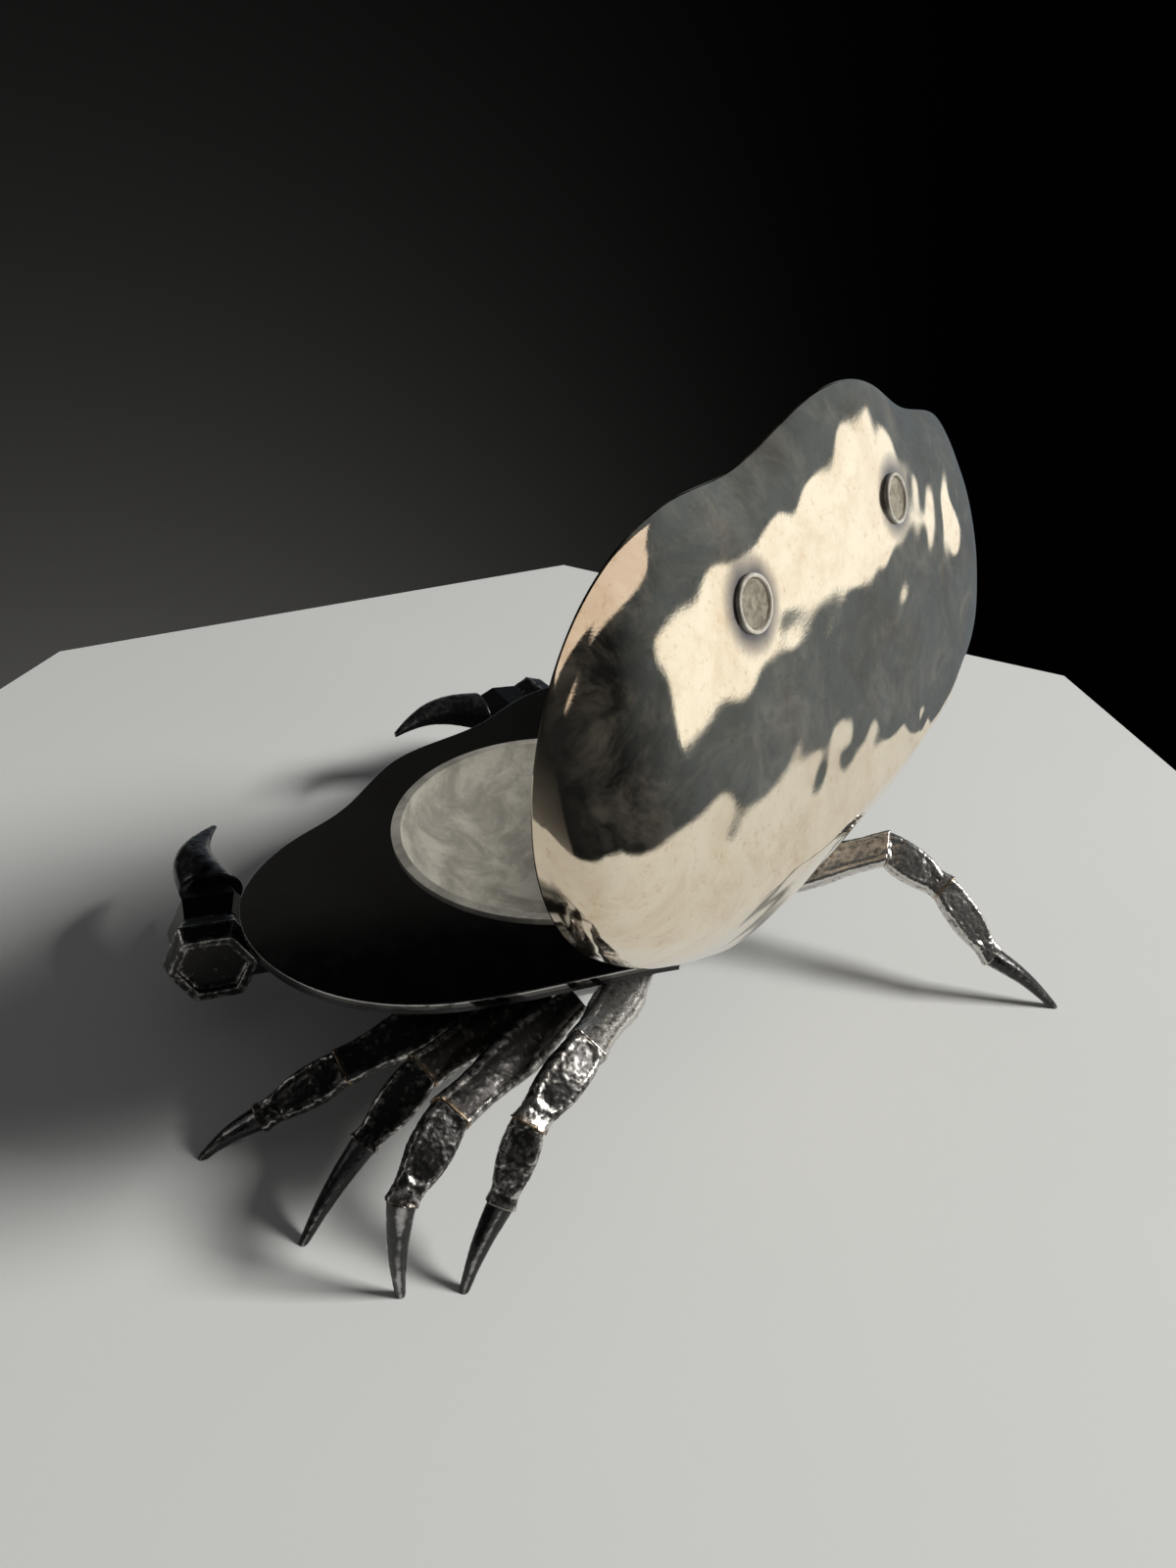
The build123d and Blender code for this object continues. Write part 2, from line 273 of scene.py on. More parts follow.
@dataclass(frozen=True)
class CastFinish(Finish):
    """Oxidised casting: dark in its hollows, worn bright, and on the hind legs painted light, where the mesh
    says so.
    """

    solder: Colour
    metal: float = 0.95
    grain_depth: float = 0.00012

    def material(self) -> Material:
        """Dark grain with worn ridges and brown solder lines.

        Returns:
            The material.
        """
        material, graph = Graph.painted(self.slot.value)
        grain = graph.noise(self.marks, 3.0, 0.6)
        fine = graph.noise(self.marks * 3.0, 2.0, 0.5)
        # The mesh's value holds the wear and, on the hind legs, painted light.
        wear = graph.attribute("wear") * 0.9 + (grain - 0.5) * 0.9
        bright = wear.step(0.3, 0.85)
        metal = graph.mix(bright, self.deep, self.pale)
        seam = graph.attribute("seam")
        graph.surface({"Base Color": graph.mix(seam, metal, self.solder), "Metallic": self.metal,
                       "Roughness": self.roughness + self.haze * fine - bright * 0.08,
                       "Normal": graph.bump(grain + fine * 0.4, 0.5, self.grain_depth)})
        return material


@dataclass(frozen=True)
class HammeredFinish(Finish):
    """Warm hammered silver: mirror patches, tarnish, a thin film, scratches and painted shade round the eyes.
    """

    halo: Colour
    film: float = 0.06
    scratch_depth: float = 0.00003

    def material(self) -> Material:
        """Mirror with brown clouds, specks and stains.

        Returns:
            The material.
        """
        material, graph = Graph.painted(self.slot.value)
        cloud = graph.noise(self.marks, 6.0, 0.62, 0.8).step(0.4, 0.72)
        speck = graph.noise(self.marks * 14.0, 3.0, 0.6).step(0.56, 0.74)
        stain = graph.noise(self.marks * 3.2, 5.0, 0.68, 0.5).step(0.45, 0.75)
        brown = (cloud * 0.45 + speck * 0.45 + stain * 0.35).clamp()
        metal = graph.mix(brown, self.pale, self.deep)
        scratch = graph.noise(self.marks * 30.0, 4.0, 0.7)
        # Painted shade: a dark, rougher ring round each eye stands in for the collars' shadow and mirror
        # image.
        ring = (graph.attribute("halo") * (graph.noise(self.marks * 4.0, 3.0) * 0.5 + 0.75)).clamp()
        film = graph.noise(self.marks * 1.6, 7.0, 0.72, 0.6).step(0.42, 0.76)
        graph.surface({"Base Color": graph.mix(ring, metal, self.halo), "Metallic": 1.0 - film * self.film,
                       "Roughness": brown * self.haze + film * 0.05 + self.roughness + ring * 0.12,
                       "Normal": graph.bump(scratch, 0.2, self.scratch_depth)})
        return material


@dataclass(frozen=True)
class MatteFinish(Finish):
    """Matte, mottled metal."""

    metal: float
    grain_depth: float = 0.00006

    def material(self) -> Material:
        """Mottled metal with broad soft spots.

        Returns:
            The material.
        """
        material, graph = Graph.painted(self.slot.value)
        broad = graph.noise(self.marks, 6.0, 0.62, 0.6).step(0.36, 0.66)
        fine = graph.noise(self.marks * 9.0, 3.0, 0.55)
        tone = (broad * 0.75 + fine * 0.35).clamp()
        graph.surface({"Base Color": graph.mix(tone, self.deep, self.pale), "Metallic": self.metal,
                       "Roughness": self.roughness + self.haze * fine,
                       "Normal": graph.bump(fine, 0.35, self.grain_depth)})
        return material


@dataclass(frozen=True)
class TableFinish:
    """Pale painted table top."""

    colour: Colour = (0.60, 0.61, 0.595)
    shade: float = 0.97
    roughness: float = 0.55
    peel_depth: float = 0.0001

    def material(self) -> Material:
        """Satin paint with a faint orange-peel surface.

        Returns:
            The material.
        """
        material, graph = Graph.painted("table_paint")
        peel = graph.noise(900.0, 2.0, 0.5)
        tone = graph.noise(6.0, 3.0, 0.5).step(0.3, 0.8)
        low = tuple(part * self.shade for part in self.colour)
        graph.surface({"Base Color": graph.mix(tone, low, self.colour), "Roughness": self.roughness,
                       "Normal": graph.bump(peel, 0.12, self.peel_depth)})
        return material


class Surface:
    """Tools for numpy surfaces of two parameters."""

    LATTICE = 64

    @staticmethod
    def unit(vector: Array) -> Array:
        """Vectors of the last axis brought to length one."""
        return vector / np.linalg.norm(vector, axis=-1, keepdims=True)

    @staticmethod
    def quads(rows: int, columns: int) -> Array:
        """Quads of a grid of points whose columns run round.

        Args:
            rows: Points along the first parameter.
            columns: Points round the second parameter.

        Returns:
            Array of quads.
        """
        i, j = np.meshgrid(np.arange(rows - 1), np.arange(columns), indexing="ij")
        k = (j + 1) % columns
        here, after = i * columns, (i + 1) * columns
        return np.stack([here + j, here + k, after + k, after + j], -1).reshape(-1, 4)

    @staticmethod
    def fan(ring: Array, tip: int) -> Array:
        """Triangles from each two neighbours on a closed ring of point numbers to its tip."""
        return np.stack([ring, np.roll(ring, -1), np.full_like(ring, tip)], -1)

    @classmethod
    def tube(cls, grid: Array) -> Tuple[Array, List[List[int]]]:
        """Closed tube: quads between the rings and a fan to the middle of each end.

        Args:
            grid: Array of rings by points by three.

        Returns:
            Points, with the middles of both ends last, and faces.
        """
        rows, columns = grid.shape[:2]
        count = rows * columns
        points = np.vstack([grid.reshape(-1, 3), grid[0].mean(0), grid[-1].mean(0)])
        ring = np.arange(columns)
        first = cls.fan(ring, count)[:, [1, 0, 2]]
        last = cls.fan(count - columns + ring, count + 1)
        return points, cls.quads(rows, columns).tolist() + first.tolist() + last.tolist()

    @staticmethod
    def mesh(name: str, points: Array, faces: Sequence[Sequence[int]], material: Material,
             values: Optional[Dict[str, Array]] = None) -> bpy.types.Object:
        """Object from points, faces and per-point values.

        Args:
            name: Object name.
            points: Points in metres.
            faces: Faces as lists of point numbers.
            material: Its material.
            values: Attribute name to one number per point.

        Returns:
            The linked object.
        """
        data = bpy.data.meshes.new(name)
        data.from_pydata(points.tolist(), [], faces)
        for key, numbers in (values or {}).items():
            layer = data.attributes.new(key, "FLOAT", "POINT")
            layer.data.foreach_set("value", np.ascontiguousarray(numbers, np.float32))
        data.shade_smooth()
        data.materials.append(material)
        data.validate()
        piece = bpy.data.objects.new(name, data)
        bpy.context.scene.collection.objects.link(piece)
        return piece

    @staticmethod
    def spline(knots: Array, count: int) -> Array:
        """Natural cubic spline through knots, at equal steps of chord length.

        The second derivatives M solve h[i-1] M[i-1] + 2 (h[i-1] + h[i]) M[i] + h[i] M[i+1] = 6 (slope[i] -
        slope[i-1]), with M zero at both ends.

        Args:
            knots: Points, one per row.
            count: Number of points wanted.

        Returns:
            Points on the curve.
        """
        step = np.linalg.norm(np.diff(knots, axis=0), axis=1)
        place = np.r_[0.0, np.cumsum(step)]
        size = len(knots)
        system = np.eye(size)
        right = np.zeros_like(knots)
        slope = np.diff(knots, axis=0) / step[:, None]
        inner = np.arange(1, size - 1)
        system[inner, inner - 1] = step[:-1]
        system[inner, inner] = 2 * (step[:-1] + step[1:])
        system[inner, inner + 1] = step[1:]
        right[1:-1] = 6 * np.diff(slope, axis=0)
        bend = np.linalg.solve(system, right)
        want = np.linspace(0.0, place[-1], count)
        k = np.clip(np.searchsorted(place, want) - 1, 0, size - 2)
        h = step[k][:, None]
        a = (place[k + 1] - want)[:, None] / h
        b = 1.0 - a
        curve = a * knots[k] + b * knots[k + 1]
        return curve + ((a ** 3 - a) * bend[k] + (b ** 3 - b) * bend[k + 1]) * h * h / 6

    @classmethod
    def grain(cls, points: Array, cell: float, seed: int) -> Array:
        """Smooth random values over space, between minus one and one.

        Random numbers on a cubic lattice of the given cell are blended with the fade s = t t (3 - 2 t).

        Args:
            points: Points in the lattice's unit.
            cell: Lattice cell.
            seed: Seed of the random numbers.

        Returns:
            One value per point.
        """
        table = np.random.default_rng(seed).uniform(-1, 1, (cls.LATTICE, cls.LATTICE, cls.LATTICE))
        place = points / cell
        base = np.floor(place).astype(int)
        t = place - base
        s = t * t * (3 - 2 * t)
        total = np.zeros(points.shape[:-1])
        for corner in np.ndindex(2, 2, 2):
            bit = np.array(corner[::-1])
            at = (base + bit) % cls.LATTICE
            weight = np.where(bit, s, 1 - s).prod(-1)
            total += weight * table[at[..., 0], at[..., 1], at[..., 2]]
        return total


@dataclass(frozen=True)
class LidSizes:
    """Sizes of the lid in millimetres.

    The knots run from the hinge's left corner round to the middle of the front, as side and front distances.
    The falls are the exponents of the dome's formula. The right orbit is filled at the rim and above it.
    """

    corner: Pair = (26.0, 2.4)
    knots: Tuple[Pair, ...] = ((44.0, 16.6), (68.3, 40.5), (74.3, 65.7), (63.8, 89.4), (41.0, 97.6),
                               (27.0, 97.3), (0.0, 103.0))
    full_brow: Pair = (44.0, 98.2)
    full_orbit: Pair = (27.0, 101.2)
    fade: float = 0.2
    lean: float = 5.0
    orbit_fill: Pair = (4.2, 0.84)
    middle: float = 52.8
    overhang: float = 3.4
    height: float = 23.2
    crest: float = 36.2
    side_fall: Pair = (3.2, 0.41)
    front_fall: Pair = (1.35, 0.9)
    rear_fall: Pair = (1.54, 0.84)
    wall: float = 1.2
    gap: float = 0.3
    opening: float = 91.1
    eyes: Tuple[Pair, ...] = ((34.5, 83.5), (-21.5, 85.0))
    eye_radius: float = 4.7
    eye_wall: float = 0.7
    eye_height: float = 0.495
    eye_root: float = 1.4
    eye_lip: float = 0.25
    eye_recess: float = 0.46
    eye_bed: float = 0.15
    eye_fit: float = 0.1
    eye_texture: float = 0.05
    eye_around: int = 96
    # Reach and fall of the painted shade round the eyes.
    halo: float = 7.9
    eye_shade_fall: float = 0.7
    blows: int = 1100
    blow_seed: int = 7
    blow_side: float = 80.0
    blow_front: float = 108.0
    blow_width: Pair = (1.8, 4.2)
    blow_depth: Pair = (0.02, 0.15)
    anvil: float = 10.0
    plain_rim: float = 0.06
    ripple: float = 0.1
    ripple_front: float = 9.0
    ripple_reach: float = 7.0
    ripple_side: float = 20.0
    ripple_turns: Pair = (0.42, 0.5)
    around: int = 372
    curved: float = 0.93
    rings: int = 128
    top: float = 0.999
    crowding: float = 1.7
    cap: float = 0.004


class Carapace:
    """Hammered lid: the crab outline drawn up into a dome, with hammer marks and a crumpled rear margin."""

    WIDEST, BROW, ORBIT = 2, 4, 5

    def __init__(self, sizes: LidSizes, materials: Materials) -> None:
        """Keeps the sizes and the material of each slot."""
        self.sizes = sizes
        self.materials = materials

    def outline(self, grow: float, scalloped: bool) -> Array:
        """Closed crab outline, side and front distances.

        A spline runs through the knots and their mirror images. On the right, those in front of the middle
        are drawn back by the lean times their front share times the square of their side share.

        Args:
            grow: Distance by which the deck's outline is pushed out.
            scalloped: Whether the brows and orbits are cut in.

        Returns:
            Points round the outline, the hinge edge included.
        """
        s = self.sizes
        knots = np.array(s.knots)
        if not scalloped:
            knots[self.BROW], knots[self.ORBIT] = s.full_brow, s.full_orbit
        wide = (knots[self.WIDEST, 0] + grow) / knots[self.WIDEST, 0]
        deep = (knots[-1, 1] - s.middle + grow) / (knots[-1, 1] - s.middle)
        knots = np.c_[knots[:, 0] * wide, s.middle + (knots[:, 1] - s.middle) * deep]
        half = np.vstack([s.corner, knots])
        right = half[-2::-1]
        brow = s.knots[self.BROW]
        ahead = np.maximum(right[:, 1] - s.middle, 0) / (brow[1] - s.middle)
        drawn = s.lean * ahead * np.minimum(right[:, 0] / brow[0], 1) ** 2
        drawn[0] -= s.orbit_fill[0 if scalloped else 1]
        full = np.vstack([half, np.c_[-right[:, 0], right[:, 1] - drawn]])
        share = int(s.around * s.curved)
        curve = Surface.spline(full, share)
        edge = np.linspace(curve[-1], curve[0], s.around - share + 2)[1:-1]
        return np.vstack([curve, edge])

    def dome(self, grow: float, crown: float) -> Array:
        """Dome over the outline, as side, front and rise.

        At the share q of its height, the outline is shrunk to (1 - q^a)^b, with an a and a b for the sides,
        for what is in front of the crest and for what is behind it; scallops fade with exp(-(q / f)^2).

        Args:
            grow: Push of the outline.
            crown: Height of the dome.

        Returns:
            Array of rings by points by three.
        """
        s = self.sizes
        q = 1 - (1 - np.linspace(0, s.top, s.rings)) ** s.crowding
        side, front, rear = ((1 - q ** a) ** b for a, b in (s.side_fall, s.front_fall, s.rear_fall))
        cut = np.exp(-(q / s.fade) ** 2)[:, None, None]
        ring = self.outline(grow, True)[None] * cut + self.outline(grow, False)[None] * (1 - cut)
        reach = ring[..., 1] - s.crest
        along = np.where(reach > 0, front[:, None] * reach, rear[:, None] * reach)
        rise = np.repeat((s.gap + crown * q)[:, None], ring.shape[1], 1)
        return np.stack([side[:, None] * ring[..., 0], s.crest + along, rise], -1)

    def blows(self, skin: Array) -> Array:
        """Depth of the hammer marks: a sum of Gaussian dents, -a exp(-r^2 / 2 w^2).

        Args:
            skin: Points of the closed lid.

        Returns:
            Height change in millimetres.
        """
        s = self.sizes
        rng = np.random.default_rng(s.blow_seed)
        spans = ((-s.blow_side, s.blow_side), (0, s.blow_front), s.blow_width, s.blow_depth)
        total = np.zeros(skin.shape[:-1])
        for side, front, width, depth in zip(*[rng.uniform(*span, s.blows) for span in spans]):
            far = (skin[..., 0] - side) ** 2 + (skin[..., 1] - front) ** 2
            total -= depth * np.exp(-far / (2 * width * width))
        return total

    def ripple(self, skin: Array) -> Array:
        """Crumpled rear margin: a slanted sine wave that fades away from the left of the rear.

        Args:
            skin: Points of the closed lid.

        Returns:
            Height change in millimetres.
        """
        s = self.sizes
        side, front = skin[..., 0], skin[..., 1]
        rear = np.exp(-((front - s.ripple_front) / s.ripple_reach) ** 2)
        margin = rear * np.clip(side / s.ripple_side, 0, 1)
        return s.ripple * margin * np.sin(side * s.ripple_turns[0] + front * s.ripple_turns[1])

    def opened(self, closed: Array) -> Array:
        """Points of the closed lid turned open about the hinge line, in metres.

        Args:
            closed: Side, front and rise above the deck.

        Returns:
            Points in the part's frame.
        """
        turn = math.radians(self.sizes.opening)
        side, front, rise = closed[..., 0], closed[..., 1], closed[..., 2]
        back = front * math.cos(turn) - rise * math.sin(turn)
        up = front * math.sin(turn) + rise * math.cos(turn)
        return np.stack([side, HINGE_Y - back, DECK_TOP + up], -1) * MM

    def seat(self, place: Pair) -> Tuple[Array, Array]:
        """Place and outward direction of the closed lid's skin over a point of the plan.

        Args:
            place: Side and front distances.

        Returns:
            Point and unit normal, as side, front and rise.
        """
        near = 3
        skin = self.dome(self.sizes.overhang, self.sizes.height)
        away = np.hypot(skin[..., 0] - place[0], skin[..., 1] - place[1])
        i, j = np.unravel_index(np.argmin(away), away.shape)
        normal = np.cross(skin[i + near, j] - skin[i - near, j], skin[i, j + near] - skin[i, j - near])
        normal = Surface.unit(normal)
        return skin[i, j], normal if normal[2] > 0 else -normal

    def turned(self, name: str, node: str, profile: Sequence[Pair], place: Pair, slot: Slot,
               rough: float) -> None:
        """Turned piece that stands on the lid's skin.

        Args:
            name: Its name.
            node: CAD node that it replaces.
            profile: Radius and height along its outside, from the top to the bottom.
            place: Side and front distances of its axis.
            slot: Its slot.
            rough: Grain of its surface.
        """
        centre, normal = self.seat(place)
        across = Surface.unit(np.cross(normal, [0.0, 1.0, 0.0]))
        ahead = np.cross(normal, across)
        turn = np.linspace(0, 2 * np.pi, self.sizes.eye_around, endpoint=False)[:, None]
        radius, height = np.array(profile).T[:, :, None, None]
        grid = centre + radius * (np.cos(turn) * across + np.sin(turn) * ahead) + height * normal
        texture = rough * Surface.grain(grid, 0.5, 5) + rough * Surface.grain(grid, 1.2, 6)
        points, faces = Surface.tube(grid + normal * texture[..., None])
        piece = Surface.mesh(name, self.opened(points), faces, self.materials[slot.value])
        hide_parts(node)
        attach(piece, Body.LID.value)

    def eyes(self) -> None:
        """Builds the eye collars, with a rounded lip and a shallow well, and the discs inside them."""
        s = self.sizes
        out, low, high = s.eye_radius, -s.eye_root, s.eye_height
        inside = out - s.eye_wall
        face = high - s.eye_recess
        well = face - s.eye_bed
        lip = [(inside + s.eye_wall * (0.5 + 0.5 * math.cos(a)), high - s.eye_lip + s.eye_lip * math.sin(a))
               for a in np.linspace(math.pi, 0, 9)]
        collar = [(inside * 0.5, well), (inside, well), (inside, well + 0.02), *lip, (out, low),
                  (out * 0.5, low)]
        edge = inside - s.eye_fit
        disc = [(edge * share, face) for share in np.linspace(0.02, 0.97, 26)]
        disc += [(edge, face - 0.1), (edge, low), (edge * 0.5, low)]
        for side, place in zip(("left", "right"), s.eyes):
            self.turned(f"{side}_eye_ring", f"eye_collar_{side}", collar, place, Slot.WORN, 0.0)
            self.turned(f"{side}_eye_face", f"eye_disc_{side}", disc, place, Slot.TEXTURED, s.eye_texture)

    def sheet(self) -> None:
        """Builds the lid's sheet: outer skin, inner skin, the rim between them and a tip that closes each."""
        s = self.sizes
        outer = self.dome(s.overhang, s.height)
        inner = self.dome(s.overhang - s.wall, s.height - s.wall)
        away = Surface.unit(outer - np.array([0.0, s.crest, -s.anvil]))
        fade = np.clip(np.linspace(0, 1, s.rings) / s.plain_rim, 0, 1)[:, None]
        outer = outer + away * ((self.blows(outer) + self.ripple(outer)) * fade)[..., None]
        rows, columns = outer.shape[:2]
        count = rows * columns
        tips = [skin[-1].mean(0) + [0, 0, s.cap] for skin in (outer, inner)]
        points = np.vstack([outer.reshape(-1, 3), inner.reshape(-1, 3), *tips])
        skin = Surface.quads(rows, columns)
        rim = np.arange(columns)
        after = np.roll(rim, -1)
        band = np.stack([after, after + count, rim + count, rim], -1)
        last = count - columns + rim
        faces = np.vstack([skin[:, ::-1], skin + count, band]).tolist()
        faces += Surface.fan(last, 2 * count)[:, ::-1].tolist()
        faces += Surface.fan(last + count, 2 * count + 1)[:, [2, 0, 1]].tolist()
        # Painted shade round the eyes: full at each collar, fading to nothing at its reach.
        far = np.min([np.hypot(points[:, 0] - x, points[:, 1] - y) for x, y in s.eyes], axis=0)
        halo = np.clip((s.halo - far) / (s.halo - s.eye_radius), 0, 1) ** s.eye_shade_fall
        piece = Surface.mesh("hammered_lid", self.opened(points), faces, self.materials[Slot.HAMMERED.value],
                             {"halo": halo})
        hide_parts("carapace")
        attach(piece, Body.LID.value)

    def build(self) -> None:
        """Builds the sheet and the eyes."""
        self.sheet()
        self.eyes()


@dataclass(frozen=True)
class LimbSizes:
    """Sizes of the legs and claws in millimetres; a joint is side, front of the hinge line and height.

    A claw is its side, the side on which its arm is, the middle of its wrist and its turn in degrees. Powers
    are exponents of superellipses, caps are shares of the width at the ends, and a mitre is the share of the
    length over which a piece turns into the plane of its joint.
    """

    legs: Tuple[Tuple[Point, ...], ...] = (
        ((45.0, 34.6, 25.3), (73.5, 52.3, 15.5), (87.6, 62.3, 7.5), (97.6, 70.0, 0.0)),
        ((33.0, 26.2, 23.5), (70.6, 32.6, 23.4), (84.8, 35.2, 15.0), (100.0, 38.4, 0.0)),
        ((30.0, 20.5, 22.5), (79.0, 18.0, 28.6), (94.4, 16.2, 22.0), (97.6, 16.0, 0.0)),
        ((12.0, 17.0, 21.0), (54.0, 5.8, 31.5), (72.0, 5.8, 27.0), (80.5, 5.8, 14.7), (90.4, 7.2, 0.0)),
    )
    swept: Tuple[Point, ...] = ((8.0, 19.0, 22.0), (40.0, -14.5, 31.0), (41.0, -29.0, 25.0),
                                (40.0, -43.0, 12.0), (45.6, -58.0, 0.0))
    claws: Tuple[Tuple[str, int, Point, float], ...] = (
        ("left", -1, (68.5, 96.0, 20.0), -131.0),
        ("right", 1, (-62.0, 105.6, 20.0), -25.0),
    )
    hip: float = 10.4
    ankle: float = 6.2
    hull: float = 0.16
    flatness: float = 0.68
    roll: float = 35.0
    hind: float = 0.94
    solder: float = 0.1
    thigh_swell: Tuple[Pair, ...] = ((0.0, 0.55), (0.3, 0.74), (0.6, 1.08), (0.86, 0.9), (1.0, 1.0))
    shin_swell: Tuple[Pair, ...] = ((0.0, 0.88), (0.3, 1.08), (0.62, 1.04), (0.87, 0.86), (1.0, 1.0))
    leg_power: float = 3.4
    leg_caps: Pair = (0.55, 0.93)
    leg_mitre: float = 0.25
    panel: float = 0.4
    panel_width: float = 0.72
    panel_reach: float = 1.3
    panel_edge: float = 1.3
    rim: float = 0.5
    end: float = 1.3
    seam: float = 0.55
    foot: float = 0.9
    bow: float = 0.9
    tip_width: float = 0.86
    tip_flatness: float = 0.82
    tip_power: float = 1.75
    tip_caps: Pair = (0.6, 0.93)
    tip_mitre: float = 0.2
    foot_mitre: float = 0.12
    claw_width: float = 22.0
    claw_height: float = 19.0
    claw_corner: float = 0.55
    claw_step: float = 0.35
    claw_bend: float = 0.8
    border: float = 2.0
    recess: float = 1.6
    wrist: float = 9.0
    wrist_front: float = 0.86
    wrist_rear: float = 0.84
    wrist_widest: float = 0.1
    palm: float = 13.0
    finger: float = 27.0
    finger_bow: float = 4.0
    finger_rise: float = 5.6
    finger_radius: float = 7.0
    finger_flatness: float = 0.78
    finger_caps: Pair = (0.7, 0.5)
    thinnest: float = 0.05
    around: int = 96
    along: int = 84


@dataclass(frozen=True)
class GrainLevels:
    """Casting grain: its cells and heights in millimetres, its share of the wear, and each piece's amount."""

    cells: Tuple[float, ...] = (0.42, 0.95, 3.2)
    heights: Tuple[float, ...] = (0.075, 0.1, 0.1)
    wear: Tuple[float, ...] = (0.28, 0.34)
    leg: float = 1.0
    panel: float = 0.45
    tip: float = 0.3
    wrist: float = 0.8
    finger: float = 0.35


@dataclass(frozen=True)
class WearAndLightLevels:
    """Wear of the castings, dark at zero and bright at one, painted light on the hind legs, and solder
    brownness.
    """

    leg: float = 0.42
    ridge: float = 0.14
    rim: float = 0.06
    end: float = 0.12
    panel: float = 0.12
    # Painted light: the next two values brighten the hind legs as if lit by the lamp; they are not wear.
    hind: float = 0.5
    near_hind_light: float = 0.12
    tip: float = 0.2
    tip_corner: float = 0.5
    wrist: float = 0.16
    wrist_edge: float = 0.55
    wrist_bend: float = 0.5
    finger: float = 0.22
    finger_top: float = 0.35
    cap: float = 0.2
    brown: float = 0.9
    faint: float = 0.15


@dataclass
class Rings:
    """Cross-sections of a casting in millimetres, one row per station along it.

    Attributes:
        centre: Middle of each cross-section.
        across: Unit vector of each width, or one row for all.
        back: Unit vector of each thickness, or one row for all.
        half: Half width and half thickness of each.
        outline: Unit outline, one point per row.
        normal: Outward direction of the outline's points, in the same plane.
        wear: Wear of each point of the grid, with painted light on the hind legs, between zero and one.
        seam: Solder on each point of the grid, between zero and one.
        coarse: Share of the casting grain.
        sunk: Depth below the outline.
    """

    centre: Array
    across: Array
    back: Array
    half: Array
    outline: Array
    normal: Array
    wear: Array
    seam: Array
    coarse: Array
    sunk: Array

    @classmethod
    def plain(cls, centre: Array, across: Array, back: Array, half: Array,
              shape: Tuple[Array, Array], wear: float, coarse: float) -> "Rings":
        """Rings with even wear and grain; the shape is a unit outline and its outward directions."""
        blank = np.zeros((len(centre), len(shape[0])))
        return cls(centre, across, back, half, *shape, blank + wear, blank + 0, blank + coarse, blank + 0)

    def grid(self) -> Array:
        """Points of all rings, as stations by points by three."""
        x, y = np.split(self.half[:, None] * self.outline, 2, axis=-1)
        return self.centre[:, None] + x * self.across[:, None] + y * self.back[:, None]

    def outward(self) -> Array:
        """Outward unit vectors of all points, as stations by points by three."""
        x, y = np.split(self.normal / self.half[:, None], 2, axis=-1)
        return Surface.unit(x * self.across[:, None] + y * self.back[:, None])


